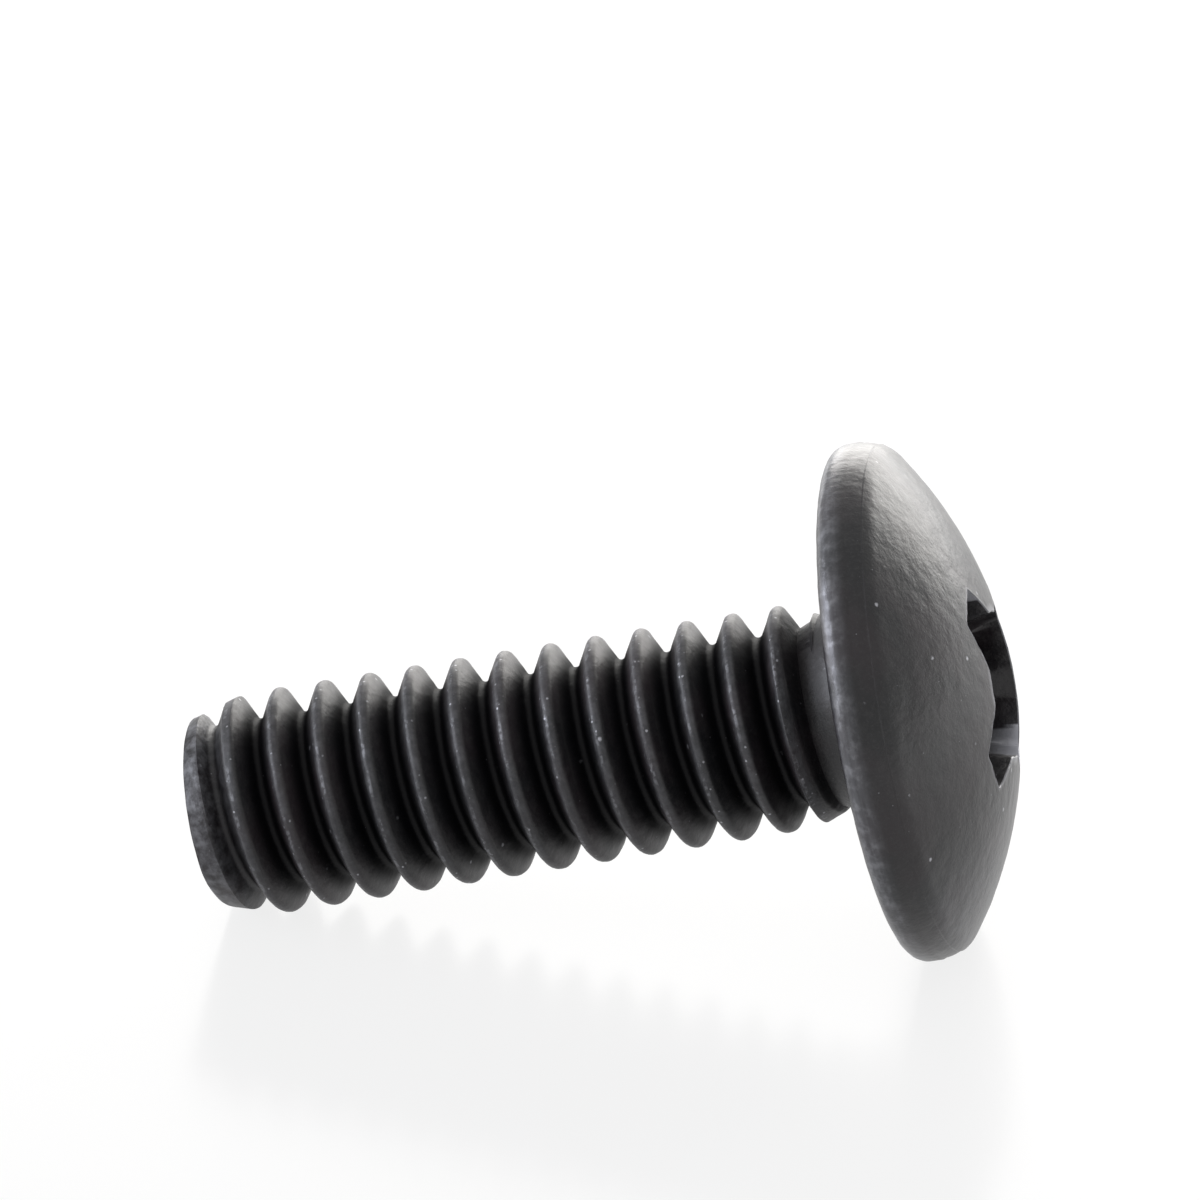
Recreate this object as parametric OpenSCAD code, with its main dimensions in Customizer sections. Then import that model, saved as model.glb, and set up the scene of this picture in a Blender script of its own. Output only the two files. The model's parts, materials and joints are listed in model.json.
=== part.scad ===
// Truss-head machine screw with a cross recess and a coarse right-hand thread.
// It is one cold-headed, thread-rolled piece, and it lies at rest on its rim and the thread at its tip.

/* [Thread] */
// Major diameter of the thread
thread_d = 6.12; // [5.6:0.02:6.5]
// Axial distance from one crest to the next
thread_pitch = 1.27; // [1.1:0.01:1.5]
// Radial depth from crest to root
thread_depth = 0.75; // [0.6:0.01:0.85]
// Width of the flat along the crest
crest_w = 0.14; // [0.08:0.01:0.2]
// Height and width of the rounding on each side of the crest
crest_round = 0.09; // [0.04:0.01:0.14]
// Width of the floor of the groove
root_w = 0.17; // [0.1:0.01:0.25]
// Distance from the bearing face to the last crest on the underside
last_crest = 1.46; // [1.2:0.01:2]

/* [Shank] */
// Length from the bearing face to the tip
shank_l = 18.6; // [12:0.05:28]
// Diameter of the flat face at the tip
tip_d = 5.2; // [4.6:0.05:5.6]
// Length over which the tip tapers
tip_taper_l = 1.5; // [0.8:0.05:2.4]

/* [Neck] */
// Diameter of the plain neck under the head
neck_d = 5.14; // [4.9:0.02:5.4]
// Radius of the fillet between the neck and the bearing face
fillet_r = 0.55; // [0.5:0.05:0.8]
// Distance from the bearing face to where the crest starts to rise out of the neck
neck_l = 0.75; // [0.6:0.05:1.2]
// Length over which the crest rises to its full height
crest_rise_l = 1.3; // [0.8:0.05:2]
// Distance from the bearing face to where the groove starts to deepen
groove_start = 1.7; // [1.5:0.05:2.2]
// Length over which the groove deepens to its floor
groove_fade_l = 0.6; // [0.4:0.05:1]

/* [Head] */
// Diameter over the rim
head_d = 14.1; // [12:0.05:17]
// Height of the head above the bearing face
head_h = 3.77; // [3.5:0.01:4.2]
// Radius of the rim's lower edge
rim_edge_r = 0.5; // [0.3:0.02:0.6]
// Height of the rim's straight wall above the bearing face
rim_h = 0.78; // [0.65:0.01:1]
// Radius of the rim's upper edge, where it turns into the dome
rim_top_r = 1.05; // [0.8:0.05:1.2]

/* [Recess] */
// Width of the cross over two opposite wings, at the crown
recess_d = 6.75; // [5.5:0.05:7.5]
// Depth of the wings below the crown
recess_depth = 2.85; // [2:0.05:3.1]
// Distance between the sides of a pair of wings at the screw's axis, at the crown
wing_root_w = 2.92; // [2.4:0.02:3.2]
// Angle in plan by which each side of a wing draws in towards its end, in degrees
wing_spread = 14; // [8:0.5:18]
// Lean of a wing's outer end from the screw's axis, in degrees
wing_end_lean = 26.5; // [20:0.5:30]
// Lean of a wing's sides from the screw's axis, in degrees
wing_side_lean = 3; // [1:0.5:5]
// Diameter of the round core at the crown
core_d = 4.05; // [3:0.05:4.8]
// Lean of the core's wall from the screw's axis, in degrees
core_lean = 17; // [10:0.5:20]
// Depth of the core's pointed floor below the wings
core_point_h = 0.35; // [0.2:0.05:0.5]
// Turn of the cross about the axis, from the underside, in degrees
recess_turn = 23; // [0:1:90]

/* [Hidden] */
$fn = 96;

// Spare length that a joined or cut shape runs past its neighbour
overlap = 0.5;

thread_r = thread_d / 2;
root_r = thread_r - thread_depth;
tip_r = tip_d / 2;
neck_r = neck_d / 2;
head_r = head_d / 2;

// The dome is the ball that passes through the crown and touches the rim's upper arc at the blend
rim_top_x = head_r - rim_top_r;
dome_rise = head_h - rim_h;
dome_r = (pow(rim_top_x, 2) + pow(dome_rise, 2) - pow(rim_top_r, 2)) / (2 * (dome_rise - rim_top_r));
dome_z = head_h - dome_r;
blend_r = rim_top_x * dome_r / (dome_r - rim_top_r);

// One pitch of the thread's section, as [axial place, radius], from the middle of one root to the next
half_pitch = thread_pitch / 2;
half_crest = crest_w / 2;
thread_section = [
    [root_w / 2, root_r],
    [half_pitch - half_crest - crest_round, thread_r - crest_round],
    [half_pitch - half_crest, thread_r],
    [half_pitch + half_crest, thread_r],
    [half_pitch + half_crest + crest_round, thread_r - crest_round],
    [thread_pitch - root_w / 2, root_r]
];
section_n = len(thread_section);

// The helix starts at least a full turn past the tip and ends inside the head
turn_steps = 36;
turns_to_tip = ceil((shank_l - last_crest) / thread_pitch) + 2;
thread_start = -last_crest - half_pitch - turns_to_tip * thread_pitch;
thread_turns = floor((rim_h - thread_start) / thread_pitch) - 1;
thread_steps = thread_turns * turn_steps;

// The thread's radius stays under a taper at the tip and under a rise out of the neck
tip_slope = (thread_r - tip_r) / tip_taper_l;
rise_slope = (thread_r - neck_r) / crest_rise_l;
function thread_limit(z) = min(thread_r, tip_r + (z + shank_l) * tip_slope, neck_r - (z + neck_l) * rise_slope);

// The crests on the underside, as [radius, axial place]
under_crests = [
    for (turn = [0 : floor((shank_l - last_crest) / thread_pitch)])
        let (z = -last_crest - turn * thread_pitch) [thread_limit(z), z]
];

// Tilt at which the rim's round edge and one crest touch the same floor
function contact_tilt(crest) =
    let (
        drop = head_r - rim_edge_r - crest[0],
        span = rim_edge_r - crest[1]
    )
    atan2(drop, span) + asin(rim_edge_r / norm([drop, span]));
rest_tilt = min([for (crest = under_crests) contact_tilt(crest)]);

// Height of the axis at the bearing face, and the ends of the lying screw
rest_lift = (head_r - rim_edge_r) * cos(rest_tilt) - rim_edge_r * sin(rest_tilt) + rim_edge_r;
rest_left = -shank_l * cos(rest_tilt) - tip_r * sin(rest_tilt);
rest_right = dome_z * cos(rest_tilt) + dome_r;

// One corner of the thread, at a step round the helix and a place in its section
function thread_corner(step, place) =
    let (
        angle = 360 * step / turn_steps,
        z = thread_start + thread_pitch * step / turn_steps + thread_section[place][0],
        r = min(thread_section[place][1], max(thread_limit(z), root_r - overlap))
    )
    [r * cos(angle), r * sin(angle), z];

function corner_index(step, place) = step * section_n + place;

// The quadrangle between four corners, as two triangles that face outwards
function two_faces(a, b, c, d) = [[a, c, b], [a, d, c]];

// The triangles between a closed loop of corners and a point on the axis
function fan(loop, centre, at_tip) = [
    for (i = [0 : len(loop) - 1])
        let (next = loop[(i + 1) % len(loop)])
        at_tip ? [loop[i], next, centre] : [loop[i], centre, next]
];

// The thread and its core: a strip whose last corners meet the first corners of the next turn
module thread_form() {
    corners = [
        for (step = [0 : thread_steps])
            for (place = [0 : section_n - 1]) thread_corner(step, place)
    ];
    flanks = [
        for (step = [0 : thread_steps - 1])
            for (place = [0 : section_n - 2])
                each two_faces(
                    corner_index(step, place),
                    corner_index(step + 1, place),
                    corner_index(step + 1, place + 1),
                    corner_index(step, place + 1)
                )
    ];
    roots = [
        for (step = [0 : thread_steps - turn_steps - 1])
            each two_faces(
                corner_index(step, section_n - 1),
                corner_index(step + 1, section_n - 1),
                corner_index(step + 1 + turn_steps, 0),
                corner_index(step + turn_steps, 0)
            )
    ];
    tip_loop = concat(
        [for (step = [0 : turn_steps]) corner_index(step, 0)],
        [for (place = [section_n - 1 : -1 : 1]) corner_index(0, place)]
    );
    head_loop = concat(
        [for (step = [thread_steps - turn_steps : thread_steps]) corner_index(step, section_n - 1)],
        [for (place = [section_n - 2 : -1 : 0]) corner_index(thread_steps, place)]
    );
    tip_centre = len(corners);
    head_centre = tip_centre + 1;
    polyhedron(
        points = concat(
            corners,
            [[0, 0, thread_start], [0, 0, thread_start + thread_pitch * (thread_turns + 1)]]
        ),
        faces = concat(flanks, roots, fan(tip_loop, tip_centre, true), fan(head_loop, head_centre, false)),
        convexity = 20
    );
}

// The thread, cut off flat at the tip
module threaded_shank() {
    difference() {
        thread_form();
        translate([0, 0, thread_start - thread_pitch])
            cylinder(h = thread_pitch - shank_l - thread_start, r = thread_d);
    }
}

// Half section of the head: dome, upper edge, rim, lower edge and bearing face
module head_section() {
    intersection() {
        translate([0, dome_z]) circle(dome_r);
        translate([0, rim_h]) square([blend_r, head_h]);
    }
    intersection() {
        translate([rim_top_x, rim_h]) circle(rim_top_r);
        translate([blend_r, rim_h]) square(rim_top_r);
    }
    translate([0, rim_edge_r]) square([head_r, rim_h - rim_edge_r]);
    intersection() {
        translate([head_r - rim_edge_r, rim_edge_r]) circle(rim_edge_r);
        translate([head_r - rim_edge_r, 0]) square(rim_edge_r);
    }
    square([head_r - rim_edge_r, rim_edge_r]);
}

// Half section of the neck: its fillet under the head, its plain wall and the cone that the groove rises on,
// which runs on inside the core
module neck_section() {
    difference() {
        translate([0, -fillet_r]) square([neck_r + fillet_r, fillet_r]);
        translate([neck_r + fillet_r, -fillet_r]) circle(fillet_r);
    }
    cone_end_r = root_r - overlap;
    cone_end_z = -groove_start - groove_fade_l * (neck_r - cone_end_r) / (neck_r - root_r);
    polygon([
        [0, -fillet_r],
        [neck_r, -fillet_r],
        [neck_r, -groove_start],
        [cone_end_r, cone_end_z],
        [0, cone_end_z]
    ]);
}

// The six corners of a pair of opposite wings at one depth below the crown
function wing_level(depth) =
    let (
        half = recess_d / 2 - depth * tan(wing_end_lean),
        root = wing_root_w / 2 - depth * tan(wing_side_lean),
        end = root - half * tan(wing_spread),
        z = head_h - depth
    )
    [[half, end, z], [0, root, z], [-half, end, z], [-half, -end, z], [0, -root, z], [half, -end, z]];

// One pair of opposite wings of the recess, which widen upwards and towards the axis
module recess_wings() {
    wing_floor = wing_level(recess_depth);
    wing_top = wing_level(-overlap);
    sides = len(wing_floor);
    polyhedron(
        points = concat(wing_floor, wing_top),
        faces = concat(
            [[for (i = [0 : sides - 1]) i], [for (i = [2 * sides - 1 : -1 : sides]) i]],
            [for (i = [0 : sides - 1]) let (next = (i + 1) % sides) [sides + i, sides + next, next, i]]
        )
    );
}

// The round core between the wings, with a pointed floor
module recess_core() {
    floor_z = head_h - recess_depth;
    floor_r = core_d / 2 - recess_depth * tan(core_lean);
    top_r = core_d / 2 + overlap * tan(core_lean);
    rotate_extrude()
        polygon([
            [0, floor_z - core_point_h],
            [floor_r, floor_z],
            [top_r, head_h + overlap],
            [0, head_h + overlap]
        ]);
}

module recess() {
    rotate(recess_turn) {
        recess_wings();
        rotate(90) recess_wings();
        recess_core();
    }
}

// The whole screw standing on its tip, with its bearing face at zero
module upright_screw() {
    difference() {
        union() {
            rotate_extrude() {
                head_section();
                neck_section();
            }
            threaded_shank();
        }
        recess();
    }
}

module screw() {
    color([0.13, 0.125, 0.135])
        translate([-(rest_left + rest_right) / 2, 0, rest_lift])
            rotate([0, 90 - rest_tilt, 0])
                upright_screw();
}

screw();
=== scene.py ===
# %% [markdown]
# # A black truss-head machine screw
# This lesson dresses a small steel screw that lies on a white table. The exact model is in model.glb,
# and it is loaded first as a fixed frame. Blender then rebuilds the screw with finer curves than the
# imported mesh has, gives it a worn black-oxide finish, and lights and photographs it.

import json
import math

import bpy
import numpy as np
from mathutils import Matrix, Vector


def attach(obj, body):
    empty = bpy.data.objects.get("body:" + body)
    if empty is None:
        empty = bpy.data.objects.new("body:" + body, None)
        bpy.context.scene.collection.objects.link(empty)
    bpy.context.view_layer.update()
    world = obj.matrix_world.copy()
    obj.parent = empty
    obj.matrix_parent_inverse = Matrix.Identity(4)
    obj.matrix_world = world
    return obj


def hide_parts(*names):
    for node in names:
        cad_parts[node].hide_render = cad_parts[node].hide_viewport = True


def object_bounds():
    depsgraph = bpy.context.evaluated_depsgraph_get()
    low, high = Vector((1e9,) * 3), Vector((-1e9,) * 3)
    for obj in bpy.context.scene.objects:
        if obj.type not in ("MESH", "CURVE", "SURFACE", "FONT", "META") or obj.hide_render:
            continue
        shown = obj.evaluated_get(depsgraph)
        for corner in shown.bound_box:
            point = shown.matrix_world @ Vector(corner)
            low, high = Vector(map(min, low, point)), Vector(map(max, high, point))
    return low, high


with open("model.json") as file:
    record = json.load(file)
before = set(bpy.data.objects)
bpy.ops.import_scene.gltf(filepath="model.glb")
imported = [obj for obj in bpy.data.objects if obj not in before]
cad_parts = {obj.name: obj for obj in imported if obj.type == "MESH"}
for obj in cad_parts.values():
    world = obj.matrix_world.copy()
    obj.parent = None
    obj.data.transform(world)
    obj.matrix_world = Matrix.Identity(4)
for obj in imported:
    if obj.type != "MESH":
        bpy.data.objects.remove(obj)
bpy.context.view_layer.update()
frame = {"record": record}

# %% [markdown]
# ## Where the screw lies
# The record says where the flat face under the head is, and which way it looks. The middle of that face
# and the direction to the head are all that is needed to lay a screw down that was modelled standing up.

# %% Read the seat and the tilt from the record
MM = 0.001
bearing_mount = next(mount for mount in frame["record"]["mounts"] if mount["name"] == "bearing_face")
head_way = -Vector(bearing_mount["axis"])
seat = Vector(bearing_mount["pos_m"])
seat.y = 0.0
rest_tilt = math.atan2(head_way.z, head_way.x)
lying_turn = (0.0, math.pi / 2 - rest_tilt, 0.0)
print("seat", tuple(seat), "tilt", round(math.degrees(rest_tilt), 3))

# %% [markdown]
# ## The screw's sizes
# Sizes are in millimetres, measured from the bearing face, with the head upwards. Blender's merge
# distances suit shapes of a few units, so the screw is modelled at one unit to the millimetre and made
# small at the end.

# %% Name the sizes of the thread, the neck and the head
thread_r = 3.06
thread_pitch = 1.27
root_r = 2.31
last_crest = 1.46
shank_l = 18.6
tip_r = 2.6
tip_taper_l = 1.5
run_out_r = 2.57
run_out_l = 0.85
crest_rise_l = 1.2
neck_l = 1.75
neck_lean = math.radians(25)
fillet_r = 0.5
head_r = 7.05
head_h = 3.77
rim_edge_r = 0.5
rim_h = 0.78
rim_top_r = 1.05
print("shank", shank_l, "head", 2 * head_r, "by", head_h)

# %% [markdown]
# ## Drawing a line and turning it
# A turned shape starts as half of its outline. As by hand, a plane is collapsed to one point, the point
# is moved to the start of the outline, and it is extruded from corner to corner. Spin then carries the
# line round the axis.


# %% Helpers: draw an outline, spin it, and finish a mesh
def draw_outline(name, corners):
    bpy.ops.object.select_all(action="DESELECT")
    bpy.ops.mesh.primitive_plane_add(size=1.0)
    outline = bpy.context.object
    outline.name = name
    bpy.ops.object.mode_set(mode="EDIT")
    bpy.ops.mesh.select_mode(type="VERT")
    bpy.ops.mesh.select_all(action="SELECT")
    bpy.ops.mesh.merge(type="CENTER")
    bpy.ops.transform.translate(value=(corners[0][0], 0.0, corners[0][1]))
    for here, there in zip(corners, corners[1:]):
        step = (there[0] - here[0], 0.0, there[1] - here[1])
        bpy.ops.mesh.extrude_region_move(TRANSFORM_OT_translate={"value": step})
    bpy.ops.mesh.select_all(action="SELECT")
    bpy.ops.object.mode_set(mode="OBJECT")
    return outline


def tidy_mesh(piece, merge_distance=0.0005):
    bpy.context.view_layer.objects.active = piece
    bpy.ops.object.mode_set(mode="EDIT")
    bpy.ops.mesh.select_all(action="SELECT")
    bpy.ops.mesh.remove_doubles(threshold=merge_distance)
    bpy.ops.mesh.normals_make_consistent(inside=False)
    bpy.ops.mesh.select_all(action="DESELECT")
    bpy.ops.object.mode_set(mode="OBJECT")


def turn_outline(name, corners, steps):
    piece = draw_outline(name, corners)
    bpy.ops.object.mode_set(mode="EDIT")
    bpy.ops.mesh.spin(steps=steps, angle=math.tau, center=(0.0, 0.0, 0.0), axis=(0.0, 0.0, 1.0))
    bpy.ops.object.mode_set(mode="OBJECT")
    tidy_mesh(piece)
    return piece


def arc(middle, radius, start, end, parts):
    angles = [start + (end - start) * part / parts for part in range(parts + 1)]
    return [(middle[0] + radius * math.cos(a), middle[1] + radius * math.sin(a)) for a in angles]


def line_between(start, end, parts):
    shares = [part / parts for part in range(1, parts)]
    return [tuple(a + (b - a) * share for a, b in zip(start, end)) for share in shares]


# %% [markdown]
# ## The head and the neck
# The head is a low dome on a narrow round rim. It was struck cold in a die, and where the die's two
# halves met there is a fine step round the rim. Under the head a small hollow fillet leads into a short
# cone that the last groove of the thread rises on. All of it is one turned outline: the dome's arc, the
# rim's upper arc with the step, the lower edge, the flat bearing face, the fillet and the cone, which
# runs on inside the shank.

# %% Draw the head's outline and turn it
rim_top_x = head_r - rim_top_r
dome_rise = head_h - rim_h
dome_r = (rim_top_x ** 2 + dome_rise ** 2 - rim_top_r ** 2) / (2 * (dome_rise - rim_top_r))
dome_z = head_h - dome_r
blend_angle = math.atan2(rim_h - dome_z, rim_top_x)
step_angle = math.radians(31)
step_depth = 0.03
step_width = math.radians(2)
step_fade_angle = math.radians(4)
dome_parts = 44
edge_parts = 8
lower_parts = 12
fillet_parts = 10
face_parts = 4
cone_parts = 6
rim_middle = (rim_top_x, rim_h)
dome_arc = arc((0.0, dome_z), dome_r, math.pi / 2, blend_angle, dome_parts)
upper_arc = arc(rim_middle, rim_top_r, blend_angle, step_angle, edge_parts)
sunk_arc = arc(rim_middle, rim_top_r - step_depth, step_angle - step_width, step_fade_angle, edge_parts - 1)
lower_arc = arc((head_r - rim_edge_r, rim_edge_r), rim_edge_r, 0.0, -math.pi / 2, lower_parts)
rim_line = upper_arc[1:] + sunk_arc + [(head_r, rim_h)] + lower_arc
fillet_h = fillet_r * (1 - math.sin(neck_lean))
cone_top = (root_r + (neck_l - fillet_h) * math.tan(neck_lean), -fillet_h)
fillet_x = cone_top[0] + fillet_r * math.cos(neck_lean)
fillet_arc = arc((fillet_x, -fillet_r), fillet_r, math.pi / 2, math.pi - neck_lean, fillet_parts)
face_line = line_between((head_r - rim_edge_r, 0.0), fillet_arc[0], face_parts)
hidden_depth = 0.5
cone_end = (root_r - hidden_depth, -neck_l - hidden_depth / math.tan(neck_lean))
neck_line = line_between(cone_top, cone_end, cone_parts) + [cone_end, (0.0, cone_end[1])]
head_outline = dome_arc + rim_line + face_line + fillet_arc + neck_line
head_steps = 192
screw = turn_outline("screw_body", head_outline, head_steps)
print("head: faces", len(screw.data.polygons), "dome radius", round(dome_r, 3))

# %% [markdown]
# ## The thread
# The thread was rolled into the shank, so its crests and roots are round. One pitch of its section is
# drawn as a line: half a root, a flank, the crest, the other flank and half a root. The arcs just touch
# the flanks. A Screw modifier then winds the line up the axis. Each turn ends where the next one starts,
# so merging doubles makes one unbroken skin.

# %% Draw one pitch of the thread and wind it
half_pitch = thread_pitch / 2
half_crest = 0.185
crest_round = 0.09
half_root = 0.085
flank_angle = math.atan2(thread_r - crest_round - root_r, half_pitch - half_crest - half_root)
crest_arc_r = half_crest / math.sin(flank_angle)
root_arc_r = half_root * math.sin(flank_angle) / (1 - math.cos(flank_angle))
root_parts = 4
crest_parts = 8
flank_parts = 5
root_half = arc((root_r + root_arc_r, 0.0), root_arc_r, math.pi, math.pi - flank_angle, root_parts)
crest_arc = arc((thread_r - crest_arc_r, half_pitch), crest_arc_r, -flank_angle, flank_angle, crest_parts)
flank = line_between(root_half[-1], crest_arc[0], flank_parts)
first_half = root_half + flank + crest_arc[: crest_parts // 2]
section = first_half + [(thread_r, half_pitch)] + [(r, thread_pitch - z) for r, z in reversed(first_half)]
spare_turns = 1
turns_above = 2
turns_below = math.ceil((shank_l - last_crest) / thread_pitch) + spare_turns
winding_start = -last_crest - half_pitch - turns_below * thread_pitch
turns = turns_below + turns_above
thread = draw_outline("thread", [(r, winding_start + z) for r, z in section])
turn_steps = 96
winding = thread.modifiers.new("winding", "SCREW")
winding.axis = "Z"
winding.angle = math.tau
winding.screw_offset = thread_pitch
winding.iterations = turns
winding.steps = turn_steps
winding.render_steps = turn_steps
bpy.ops.object.modifier_apply(modifier=winding.name)
tidy_mesh(thread)
print("section: corners", len(section), "thread: faces", len(thread.data.polygons))


# %% A helper that selects parts of a mesh by a test
def select_where(piece, kind, wanted):
    bpy.ops.object.select_all(action="DESELECT")
    piece.select_set(True)
    bpy.context.view_layer.objects.active = piece
    bpy.ops.object.mode_set(mode="EDIT")
    bpy.ops.mesh.select_mode(type=kind)
    bpy.ops.mesh.select_all(action="DESELECT")
    bpy.ops.object.mode_set(mode="OBJECT")
    parts = {"VERT": piece.data.vertices, "EDGE": piece.data.edges, "FACE": piece.data.polygons}[kind]
    for part in parts:
        part.select = wanted(part)
    bpy.ops.object.mode_set(mode="EDIT")


# %% [markdown]
# ## Where the thread starts and ends
# The blank was pointed before it was rolled, so the first turns at the tip are lower than the rest, and
# under the head the last crest sinks into the neck. A limit on the radius along the axis says both. It is
# a soft limit, because rolled metal swells over an edge and doesn't break off at it.

# %% Hold the crests under the limit
tip_slope = (thread_r - tip_r) / tip_taper_l
rise_slope = (thread_r - run_out_r) / crest_rise_l
sunk_r = root_r - hidden_depth
crest_softness = 0.03


def soft_least(first, second, softness):
    gap = np.clip(0.5 + 0.5 * (second - first) / softness, 0.0, 1.0)
    return second + (first - second) * gap - softness * gap * (1.0 - gap)


places = np.empty(3 * len(thread.data.vertices), np.float32)
thread.data.vertices.foreach_get("co", places)
places = places.reshape(-1, 3)
radius = np.hypot(places[:, 0], places[:, 1])
height = places[:, 2]
limit = np.minimum(tip_r + (height + shank_l) * tip_slope, run_out_r - (height + run_out_l) * rise_slope)
held = soft_least(radius, np.maximum(limit, sunk_r), crest_softness)
places[:, :2] *= (held / radius)[:, None]
thread.data.vertices.foreach_set("co", places.ravel())
thread.data.update()
print("crests held in:", int((radius - held > crest_softness).sum()))

# %% [markdown]
# ## The ends of the shank
# Bisect cuts the winding off flat at the tip, and again inside the head, where the cut won't show, and
# fills both cuts. The edge of the tip is bevelled a little, as it was by the point of the blank.


# %% Cut both ends flat and round the tip's edge
def cut_flat(piece, height, keep_above):
    select_where(piece, "VERT", lambda v: True)
    bpy.ops.mesh.bisect(
        plane_co=(0.0, 0.0, height),
        plane_no=(0.0, 0.0, 1.0),
        use_fill=True,
        clear_inner=keep_above,
        clear_outer=not keep_above,
    )
    bpy.ops.object.mode_set(mode="OBJECT")


hidden_end = 0.35
cut_flat(thread, -shank_l, True)
cut_flat(thread, hidden_end, False)
tidy_mesh(thread)
near = 0.001
level_normal = 0.99
tip_edge_r = 0.09
tip_edge_parts = 3
tip_faces = [
    face
    for face in thread.data.polygons
    if abs(face.normal.z) > level_normal and abs(face.center.z + shank_l) < near
]
rim_of_tip = {corner for face in tip_faces for corner in face.vertices}
select_where(thread, "EDGE", lambda e: set(e.vertices) <= rim_of_tip)
bpy.ops.mesh.bevel(affect="EDGES", offset=tip_edge_r, segments=tip_edge_parts, clamp_overlap=True)
bpy.ops.object.mode_set(mode="OBJECT")
tidy_mesh(thread)
print("thread: faces", len(thread.data.polygons), "on the tip's edge", len(rim_of_tip))

# %% [markdown]
# ## One piece of steel
# A real screw has no seam between its head and its thread, so a Boolean joins the two into one closed
# skin.


# %% Join the thread to the head
def join_or_cut(piece, tool, operation):
    step = piece.modifiers.new("step", "BOOLEAN")
    step.object = tool
    step.operation = operation
    step.solver = "EXACT"
    bpy.ops.object.select_all(action="DESELECT")
    bpy.context.view_layer.objects.active = piece
    bpy.ops.object.modifier_apply(modifier=step.name)
    bpy.data.objects.remove(tool)


join_or_cut(screw, thread, "UNION")
print("joined: faces", len(screw.data.polygons))

# %% [markdown]
# ## The cross recess
# A driver's cross is pressed into the crown. Seen along the axis it is simple in polar form: along a wing
# the reach is the smaller of the wing's end and its side, and between the wings the round core reaches
# further than they do. All of it draws in with the depth. Soft limits round the corners, and the last
# rings flare out into a round edge, as the edge of a pressed hole is.
#
# The cutter starts as a turned drum of unit radius with one ring for each level, and then every ring is
# drawn out to the outline at its level.

# %% Say how far the recess reaches at an angle and a depth
recess_r = 3.375
recess_depth = 2.85
wing_root = 1.46
wing_spread = math.tan(math.radians(14))
wing_end_lean = math.tan(math.radians(26.5))
wing_side_lean = math.tan(math.radians(3))
core_r = 2.025
core_lean = math.tan(math.radians(17))
core_point = 0.35
recess_turn = math.radians(23)
end_softness = 0.12
lobe_softness = 0.12
settle_rounds = 8


def dome_height(radius):
    return dome_z + np.sqrt(dome_r ** 2 - radius ** 2)


def recess_reach(angle, depth):
    quarter = math.pi / 2
    off_wing = np.abs((angle - recess_turn + quarter / 2) % quarter - quarter / 2)
    end = (recess_r - depth * wing_end_lean) / np.cos(off_wing)
    side = (wing_root - depth * wing_side_lean) / (np.sin(off_wing) + wing_spread * np.cos(off_wing))
    core = core_r - depth * core_lean
    return -soft_least(-soft_least(end, side, end_softness), -core, lobe_softness)


def mouth_reach(angle):
    reach = np.full(len(angle), core_r)
    for _ in range(settle_rounds):
        reach = recess_reach(angle, head_h - dome_height(reach))
    return reach


# %% Turn the drum, draw it out to the cross and cut
wall_rings = 6
edge_rings = 5
edge_r = 0.06
edge_sweep = math.radians(72)
above = 0.5
core_floor_share = 0.9
drum_steps = 360
floor_ring_r = 0.5
top_level = wall_rings + edge_rings + 1
floor_line = [(0.0, -2.0), (floor_ring_r, -1.0)]
wall_line = [(1.0, float(ring)) for ring in range(top_level + 1)]
cutter = turn_outline("recess_cutter", floor_line + wall_line + [(0.0, top_level + 1.0)], drum_steps)
places = np.empty(3 * len(cutter.data.vertices), np.float32)
cutter.data.vertices.foreach_get("co", places)
places = places.reshape(-1, 3)
level = places[:, 2].copy()
angle = np.arctan2(places[:, 1], places[:, 0])
mouth = mouth_reach(angle)
mouth_depth = head_h - dome_height(mouth)
sweep = np.clip((level - wall_rings) / edge_rings, 0.0, 1.0) * edge_sweep
wall_depth = recess_depth + (mouth_depth + edge_r - recess_depth) * np.clip(level / wall_rings, 0.0, 1.0)
reach = recess_reach(angle, wall_depth) + edge_r * (1 - np.cos(sweep))
height = np.where(level > wall_rings, dome_height(reach) - edge_r * (1 - np.sin(sweep)), head_h - wall_depth)
core_floor_r = core_floor_share * (core_r - recess_depth * core_lean)
reach = np.where(level < 0, core_floor_r, reach)
on_axis = np.hypot(places[:, 0], places[:, 1]) < floor_ring_r / 2
reach = np.where(on_axis, 0.0, reach)
height = np.where(level < -1, height - core_point, height)
height = np.where(level >= top_level, head_h + above, height)
places = np.column_stack((reach * np.cos(angle), reach * np.sin(angle), height))
cutter.data.vertices.foreach_set("co", places.ravel())
cutter.data.update()
join_or_cut(screw, cutter, "DIFFERENCE")
tidy_mesh(screw)
mouth_range = [round(float(value), 3) for value in (mouth.min(), mouth.max())]
print("recess cut: faces", len(screw.data.polygons), "mouth", mouth_range)

# %% [markdown]
# ## Marks of making and use
# Drivers rub at the mouth of the recess and slip on the walls of its wings, here on one pair of them, so
# those points are marked for the finish to wear. And no pressed and tumbled screw is quite even: a
# Displace modifier with a cloud texture sinks the skin by up to a few hundredths of a millimetre, never
# outwards.

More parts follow.
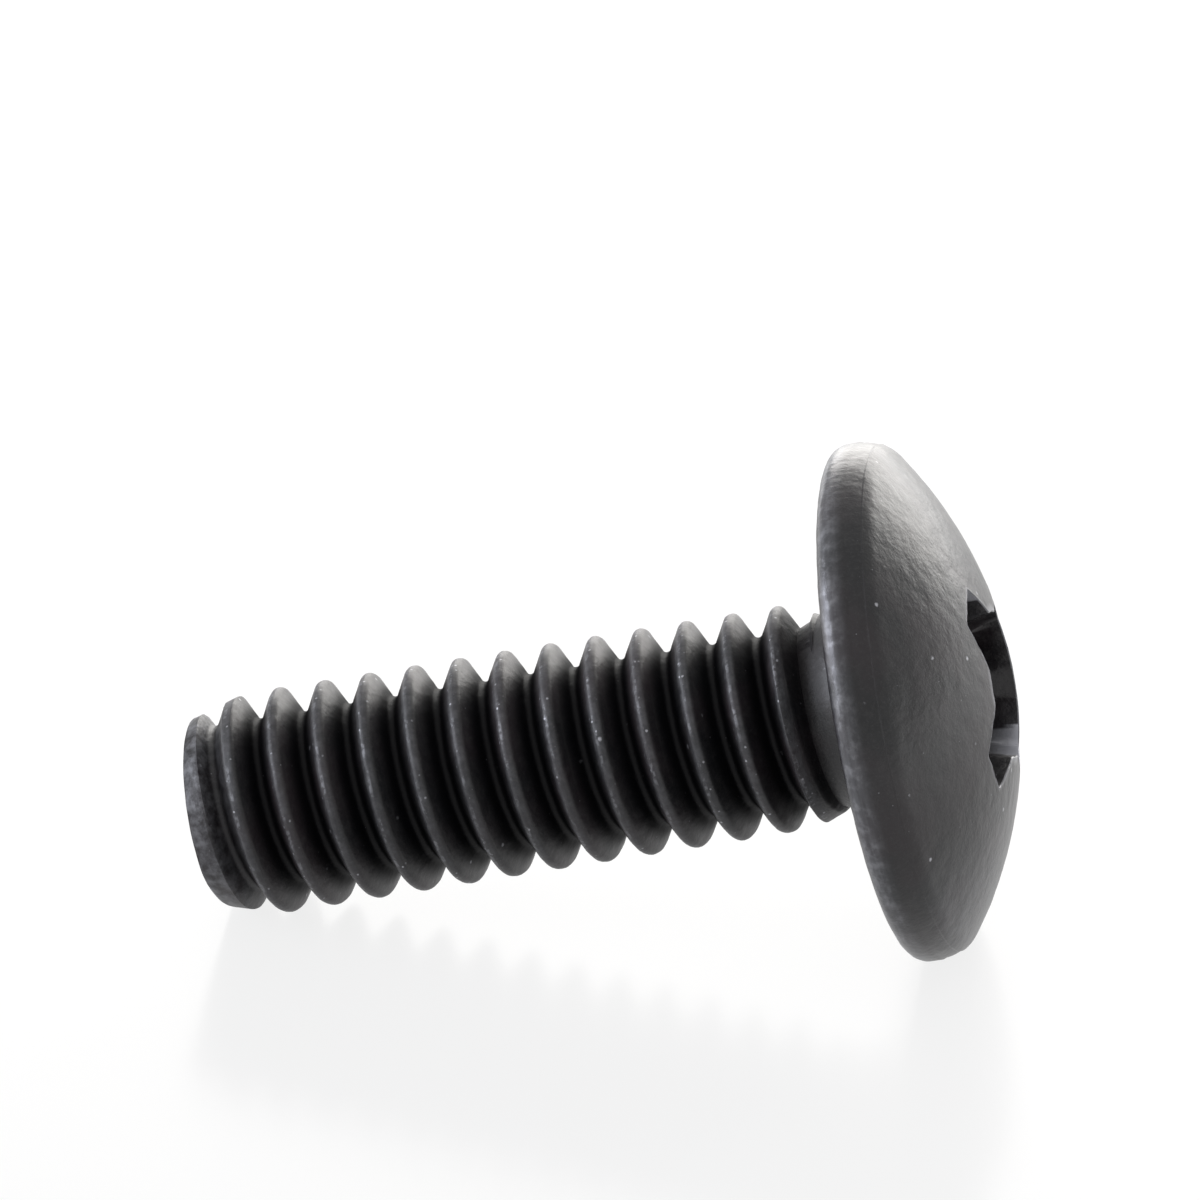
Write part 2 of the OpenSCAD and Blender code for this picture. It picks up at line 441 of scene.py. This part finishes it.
# %% Mark the edge of the recess and make the skin uneven
places = np.empty(3 * len(screw.data.vertices), np.float32)
screw.data.vertices.foreach_get("co", places)
places = places.reshape(-1, 3)
radius = np.hypot(places[:, 0], places[:, 1])
angle = np.arctan2(places[:, 1], places[:, 0])
mouth = mouth_reach(angle)
near_mouth = (radius > mouth - edge_r / 4) & (radius < mouth + 2 * edge_r)
below_dome = dome_height(np.minimum(radius, mouth + edge_r)) - places[:, 2]
on_edge = near_mouth & (below_dome < edge_r)
edge_wear = screw.data.attributes.new("edge_wear", "FLOAT", "POINT")
edge_wear.data.foreach_set("value", on_edge.astype(np.float32))
driven_wings = np.cos(2 * (angle - recess_turn)) > 0.0
past_core = 0.6
drive_depth = 1.2
in_wing = driven_wings & (radius < mouth) & (radius > core_r + past_core)
wall_fade = np.clip(1.0 - below_dome / drive_depth, 0.0, 1.0)
drive_wear = screw.data.attributes.new("drive_wear", "FLOAT", "POINT")
drive_wear.data.foreach_set("value", (in_wing * wall_fade).astype(np.float32))
unevenness = bpy.data.textures.new("unevenness", "CLOUDS")
unevenness.noise_scale = 0.45
unevenness.noise_depth = 2
sinking = screw.modifiers.new("sinking", "DISPLACE")
sinking.texture = unevenness
sinking.mid_level = 1.0
sinking.strength = 0.03
bpy.context.view_layer.objects.active = screw
bpy.ops.object.modifier_apply(modifier=sinking.name)
print("marked points: on the edge", int(on_edge.sum()), "in the wings", int(in_wing.sum()))

# %% Lay the screw down at its real size
screw.scale = (MM, MM, MM)
screw.rotation_euler = lying_turn
screw.location = seat
bpy.ops.object.select_all(action="DESELECT")
screw.select_set(True)
bpy.context.view_layer.objects.active = screw
bpy.ops.object.transform_apply(location=True, rotation=True, scale=True)
smooth_angle = math.radians(35)
bpy.ops.object.shade_smooth_by_angle(angle=smooth_angle)
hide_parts("screw")
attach(screw, "root")
dressed_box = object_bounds()
print("dressed box", [tuple(corner) for corner in dressed_box])

# %% [markdown]
# ## A way to write shader maths
# A finish is a long chain of nodes. To keep it readable, a small class wraps a socket and lets Python's
# own operators add the Math nodes, so that 1 - mask means what it says. Every other node comes from one
# method, which takes the node's kind, its settings and what goes into its sockets.


# %% The wire class
class Wire:
    tree = None

    def __init__(self, socket):
        self.socket = socket

    @classmethod
    def node(cls, kind, settings=None, sockets=None, output=0):
        node = cls.tree.nodes.new(kind)
        for setting, value in (settings or {}).items():
            setattr(node, setting, value)
        for key, value in (sockets or {}).items():
            if isinstance(value, Wire):
                cls.tree.links.new(value.socket, node.inputs[key])
            else:
                node.inputs[key].default_value = value
        return cls(node.outputs[output] if node.outputs else None)

    @classmethod
    def math(cls, operation, *values):
        return cls.node("ShaderNodeMath", {"operation": operation}, dict(enumerate(values)))

    def __add__(self, other):
        return Wire.math("ADD", self, other)

    def __radd__(self, other):
        return Wire.math("ADD", other, self)

    def __sub__(self, other):
        return Wire.math("SUBTRACT", self, other)

    def __rsub__(self, other):
        return Wire.math("SUBTRACT", other, self)

    def __mul__(self, other):
        return Wire.math("MULTIPLY", self, other)

    def __truediv__(self, other):
        return Wire.math("DIVIDE", self, other)

    def rise(self, low, high):
        ends = {"Value": self, "From Min": low, "From Max": high}
        return Wire.node("ShaderNodeMapRange", {"interpolation_type": "SMOOTHSTEP"}, ends)

    def band(self, middle, half, soft):
        away = Wire.math("ABSOLUTE", self - middle)
        return 1.0 - away.rise(half, half + soft)

    def most(self, other):
        return Wire.math("MAXIMUM", self, other)


def noise(place, scale, detail=2.0, rough=0.5):
    return Wire.node(
        "ShaderNodeTexNoise",
        {"noise_dimensions": "3D"},
        {"Vector": place, "Scale": scale, "Detail": detail, "Roughness": rough},
    )


def blend_colour(share, first, second):
    return Wire.node("ShaderNodeMix", {"data_type": "RGBA"}, {0: share, 6: first, 7: second}, 2)


# %% [markdown]
# ## The black-oxide finish
# Black oxide is a thin dark skin on the steel, a little brown or violet where it is thick. It is satin,
# not glossy, and mottled at the scale of a tenth of a millimetre. Handling wears it off where things rub:
# along the crests of the thread, round the rim, at the tip, in the recess and in small dings, where pale
# steel shows. Along the crests the pale line is partly wear and partly a painted highlight, low on the
# dome a painted paler patch stands for light from the table below, and the grooves are painted black as
# shade.
#
# The pattern has to follow the screw. A Mapping node takes the object's place back to the upright screw
# in millimetres, and from there the distance from the axis, the angle and the place along the thread are
# plain sums.

# %% Find the place on the screw
finish = bpy.data.materials.new("black_oxide_steel")
finish.use_nodes = True
finish.node_tree.nodes.clear()
Wire.tree = finish.node_tree
object_place = Wire.node("ShaderNodeTexCoord", output="Object")
place = Wire.node(
    "ShaderNodeMapping",
    {"vector_type": "TEXTURE"},
    {"Vector": object_place, "Location": seat, "Rotation": lying_turn, "Scale": (MM, MM, MM)},
)
along_x = Wire.node("ShaderNodeSeparateXYZ", sockets={0: place}, output="X")
along_y = Wire.node("ShaderNodeSeparateXYZ", sockets={0: place}, output="Y")
along_axis = Wire.node("ShaderNodeSeparateXYZ", sockets={0: place}, output="Z")
from_axis = Wire.math("SQRT", along_x * along_x + along_y * along_y)
angle = Wire.math("ARCTAN2", along_y, along_x)
turn_place = (along_axis + last_crest) / thread_pitch - angle / math.tau
from_crest = (Wire.math("FRACT", turn_place + 0.5) - 0.5) * thread_pitch
wound = angle + (turn_place - from_crest / thread_pitch) * math.tau
on_shank = 1.0 - along_axis.rise(-1.0, -0.6)

# %% Mix the skin's colour from clouds, grain and rolling marks, and paint shade into the grooves
cloud = noise(place, scale=0.55, detail=3.0)
mottle = noise(place, scale=3.2, detail=4.0, rough=0.6)
grain = noise(place, scale=11.0, detail=3.0, rough=0.65)
rolling_steps = {0: from_crest * 9.0, 1: from_axis * 3.0, 2: wound * 0.9}
rolling_place = Wire.node("ShaderNodeCombineXYZ", None, rolling_steps)
rolling = noise(rolling_place, scale=1.0, detail=3.0)
turned_stretch = (0.9, 0.9, 7.0)
turned_place = Wire.node("ShaderNodeVectorMath", {"operation": "MULTIPLY"}, {0: place, 1: turned_stretch})
turned = noise(turned_place, scale=1.0, detail=3.0)
skin_dark = (0.006, 0.006, 0.008, 1.0)
skin_violet = (0.024, 0.017, 0.021, 1.0)
skin_grey = (0.053, 0.051, 0.052, 1.0)
groove_shade_black = (0.002, 0.002, 0.003, 1.0)
groove_shade_share = 0.8
groove_shade_cover = 0.7
skin = blend_colour(cloud.rise(0.35, 0.68), skin_dark, skin_violet)
skin = blend_colour(mottle.rise(0.42, 0.75) * 0.3 + grain.rise(0.45, 0.8) * 0.5, skin, skin_grey)
skin = blend_colour(rolling.rise(0.5, 0.8) * on_shank * 0.5, skin, skin_grey)
tip_z = -shank_l
thread_zone = along_axis.rise(tip_z + 0.6, tip_z + 1.6) * (1.0 - along_axis.rise(-2.0, -1.2))
# Painted shade: the grooves of the thread are darkened towards black in the colour, where the flanks beside
# them shade them.
groove_shade_mask = thread_zone * (1.0 - from_axis.rise(root_r + 0.09, root_r + 0.57))
skin = blend_colour(groove_shade_mask * groove_shade_share, skin, groove_shade_black)

# %% Wear the crests, the rim, the tip and the dings, and paint light onto the crests and under the dome
near_crest = on_shank * from_axis.rise(thread_r - 0.36, thread_r - 0.16)
long_breaks = noise(place, scale=2.1, detail=3.0).rise(0.38, 0.62)
short_breaks = noise(place, scale=8.0, detail=2.0).rise(0.36, 0.6)
crest_break = long_breaks * short_breaks
# Partly wear, partly a painted highlight: a pale line along the tip side of each crest.
crest_wear_and_highlight = from_crest.band(middle=-0.08, half=0.025, soft=0.06) * near_crest * crest_break
rim_band = along_axis.rise(0.02, 0.15) * (1.0 - along_axis.rise(0.35, 0.85))
rim_band = rim_band * from_axis.rise(head_r - 0.55, head_r - 0.33)
rim_wear = rim_band * (0.35 + turned.rise(0.3, 0.75) * 0.3 + mottle.rise(0.4, 0.7) * 0.5)
mouth_wear = Wire.node("ShaderNodeAttribute", {"attribute_name": "edge_wear"}, output="Fac")
wall_wear = Wire.node("ShaderNodeAttribute", {"attribute_name": "drive_wear"}, output="Fac")
# Painted light: the dome is made paler low down on the side that faces the table, as if lit from below.
painted_table_light = along_x.rise(1.5, 5.0) * along_axis.rise(0.9, 1.7) * (0.35 + mottle.rise(0.3, 0.7) * 0.65)
tip_zone = 1.0 - along_axis.rise(tip_z + 0.3, tip_z + 1.4)
tip_wear = tip_zone * (0.25 + from_axis.rise(tip_r - 0.4, tip_r - 0.1) * 0.75) * mottle.rise(0.3, 0.75)


def specks(scale, chance, size):
    raggedness = 1.2
    solid_share = 0.3
    pick_softness = 0.02
    voronoi = {"Vector": place, "Scale": scale, "Randomness": 1.0}
    distance = Wire.node("ShaderNodeTexVoronoi", {"feature": "F1"}, voronoi, "Distance")
    pick = Wire.node("ShaderNodeTexVoronoi", {"feature": "F1"}, voronoi, "Color")
    lot = Wire.node("ShaderNodeSeparateColor", sockets={0: pick}, output=0)
    uneven = distance + (grain - 0.5) * raggedness * size
    picked = lot.rise(1.0 - chance, 1.0 - chance + pick_softness)
    return (1.0 - uneven.rise(solid_share * size, size)) * picked


ding = specks(scale=1.5, chance=0.22, size=0.12)
dust = specks(scale=4.6, chance=0.10, size=0.13)
crest_zone = from_crest.band(middle=-0.06, half=0.1, soft=0.1) * near_crest
crest_dust = specks(scale=5.0, chance=0.34, size=0.26) * crest_zone
# Partly wear, partly a painted highlight: a broad pale band over the crests.
crest_rub_and_sheen = crest_zone * (0.4 + mottle.rise(0.35, 0.7) * 0.6)
# Wear and painted light are gathered into one mask: pale steel shows where it is high, for real wear and
# also for the painted highlights on the crests and the painted light under the dome.
wear_and_light_strengths = [
    (crest_wear_and_highlight, 0.35),
    (crest_rub_and_sheen, 0.15),
    (crest_dust, 0.75),
    (rim_wear, 0.42),
    (painted_table_light, 0.22),
    (tip_wear, 0.4),
    (mouth_wear, 0.4),
    (ding, 0.75),
    (dust, 0.4),
]
wear_and_painted_light = wall_wear
for mask, strength in wear_and_light_strengths:
    wear_and_painted_light = wear_and_painted_light.most(mask * strength)
steel = (0.54, 0.545, 0.585, 1.0)
colour = blend_colour(wear_and_painted_light, skin, steel)

# %% Set the shader
head_roughness = 0.26
mottle_roughness = 0.14
shank_roughness = 0.14
wall_roughness = 0.25
roughness = head_roughness + mottle * mottle_roughness + on_shank * shank_roughness
roughness = roughness + wall_wear * wall_roughness
grain_share = 0.15
bump_depth = 0.025 * MM
height = mottle * (1.0 - grain_share) + grain * grain_share
relief = {"Strength": 1.0, "Distance": bump_depth, "Height": height}
bump = Wire.node("ShaderNodeBump", None, relief, "Normal")
shader = Wire.node(
    "ShaderNodeBsdfPrincipled",
    None,
    {"Base Color": colour, "Roughness": roughness, "Metallic": wear_and_painted_light, "Normal": bump, "IOR": 1.5},
)
# Painted shade: a black diffuse shader is mixed in over the grooves of the thread.
painted_groove_shade = Wire.node("ShaderNodeBsdfDiffuse", None, {"Color": groove_shade_black})
shader = Wire.node("ShaderNodeMixShader", None, {0: groove_shade_mask * groove_shade_cover, 1: shader, 2: painted_groove_shade})
Wire.node("ShaderNodeOutputMaterial", None, {"Surface": shader})
screw.data.materials.clear()
screw.data.materials.append(finish)
print("finish: nodes", len(finish.node_tree.nodes))

# %% [markdown]
# ## The white table
# The screw lies on a glossy white table that runs into a white background, so there is no horizon. The
# floor is a large plane. It is diffuse, with a share of light of its own for the camera so that it comes
# out white while the shadow stays, and a thin gloss that mirrors the screw faintly. Out of the picture,
# far behind and at both sides, it is brighter, as a lit sweep is, and the screw's skin mirrors that.


# %% Make the floor
def seen_directly():
    seen_by_camera = Wire.node("ShaderNodeLightPath", output="Is Camera Ray")
    seen_in_gloss = Wire.node("ShaderNodeLightPath", output="Is Glossy Ray")
    seen_through = Wire.node("ShaderNodeLightPath", output="Is Transmission Ray")
    return seen_by_camera.most(seen_in_gloss).most(seen_through)


floor_half = 3.0
bpy.ops.object.select_all(action="DESELECT")
bpy.ops.mesh.primitive_plane_add(size=2 * floor_half, location=(0.0, 0.0, 0.0))
floor = bpy.context.object
floor.name = "table"
table_paint = bpy.data.materials.new("white_table")
table_paint.use_nodes = True
table_paint.node_tree.nodes.clear()
Wire.tree = table_paint.node_tree
white = (1.0, 1.0, 1.0, 1.0)
table_grey = (0.14, 0.14, 0.14, 1.0)
table_glow = 0.85
sweep_glow = 1.8
right_share = 0.5
mirror_share = 0.03
mirror_roughness = 0.22
matt = Wire.node("ShaderNodeBsdfDiffuse", None, {"Color": table_grey})
table_place = Wire.node("ShaderNodeTexCoord", output="Object")
table_x = Wire.node("ShaderNodeSeparateXYZ", sockets={0: table_place}, output="X")
table_y = Wire.node("ShaderNodeSeparateXYZ", sockets={0: table_place}, output="Y")
far_behind = table_y.rise(0.06, 0.14)
far_left = (0.0 - table_x).rise(0.05, 0.11)
far_right = table_x.rise(0.03, 0.1)
sweep = far_behind.most(far_left).most(far_right * right_share)
glow_strength = seen_directly() * (table_glow + sweep * sweep_glow)
glow = Wire.node("ShaderNodeEmission", None, {"Color": white, "Strength": glow_strength})
mirror = Wire.node("ShaderNodeBsdfGlossy", None, {"Color": white, "Roughness": mirror_roughness})
paint = Wire.node("ShaderNodeAddShader", None, {0: matt, 1: glow})
paint = Wire.node("ShaderNodeMixShader", None, {0: mirror_share, 1: paint, 2: mirror})
Wire.node("ShaderNodeOutputMaterial", None, {"Surface": paint})
floor.data.materials.append(table_paint)

# %% [markdown]
# ## Soft studio light
# The background is white to the camera and in reflections, and gives a plain even light. One large soft
# lamp stands above and behind the screw, a little to its right and a little warm, and a smaller, weaker
# and cooler one stands to its left.

# %% Make the world and the lamps
world = bpy.data.worlds.new("white_room")
bpy.context.scene.world = world
world.use_nodes = True
world.node_tree.nodes.clear()
Wire.tree = world.node_tree
room_light = 0.45
room_strength = room_light + seen_directly() * (1.0 - room_light)
room = Wire.node("ShaderNodeBackground", None, {"Strength": room_strength})
Wire.node("ShaderNodeOutputWorld", None, {"Surface": room})


def soft_panel(name, place, aim, width, height, radiance, tint):
    panel_data = bpy.data.lights.new(name, "AREA")
    panel_data.shape = "RECTANGLE"
    panel_data.size = width
    panel_data.size_y = height
    panel_data.energy = radiance * math.pi * width * height
    panel_data.color = tint
    panel = bpy.data.objects.new(name, panel_data)
    bpy.context.scene.collection.objects.link(panel)
    panel.location = place
    panel.rotation_euler = (Vector(aim) - Vector(place)).to_track_quat("-Z", "Y").to_euler()


middle = (0.0, 0.0, 0.006)
warm = (1.0, 0.98, 0.945)
cool = (0.87, 0.91, 1.0)
soft_panel("back_panel", (0.06, 0.30, 0.09), middle, width=0.36, height=0.17, radiance=4.3, tint=warm)
soft_panel("left_panel", (-0.30, -0.03, 0.09), middle, width=0.24, height=0.17, radiance=3.6, tint=cool)

# %% [markdown]
# ## The camera
# The photograph was taken with a long lens from a little above, and from slightly towards the head. The
# camera is placed so that the middle of the bearing face falls on its pixel, at the scale measured there.

# %% Place the camera
image_size = 1200
focal_pixels = 8526.0
pixels_per_mm = 37.217
seat_pixel = (873.8, 705.0)
elevation = math.radians(23.53)
swing = math.radians(7.03)
forward = Vector((
    -math.sin(swing) * math.cos(elevation),
    math.cos(swing) * math.cos(elevation),
    -math.sin(elevation),
))
right = Vector((math.cos(swing), math.sin(swing), 0.0))
upward = right.cross(forward)
across = (seat_pixel[0] - image_size / 2) / pixels_per_mm * MM
down = (seat_pixel[1] - image_size / 2) / pixels_per_mm * MM
distance = focal_pixels / pixels_per_mm * MM
camera_data = bpy.data.cameras.new("camera")
camera_data.sensor_width = 36.0
camera_data.lens = focal_pixels / image_size * camera_data.sensor_width
camera_data.clip_start = 0.01
camera_data.clip_end = 20.0
camera = bpy.data.objects.new("camera", camera_data)
bpy.context.scene.collection.objects.link(camera)
camera.location = seat - forward * distance - right * across + upward * down
camera.rotation_euler = forward.to_track_quat("-Z", "Y").to_euler()
bpy.context.scene.camera = camera
print("camera at", tuple(camera.location), "lens", round(camera_data.lens, 1))

# %% Set how colours are shown
bpy.context.scene.view_settings.view_transform = "Standard"
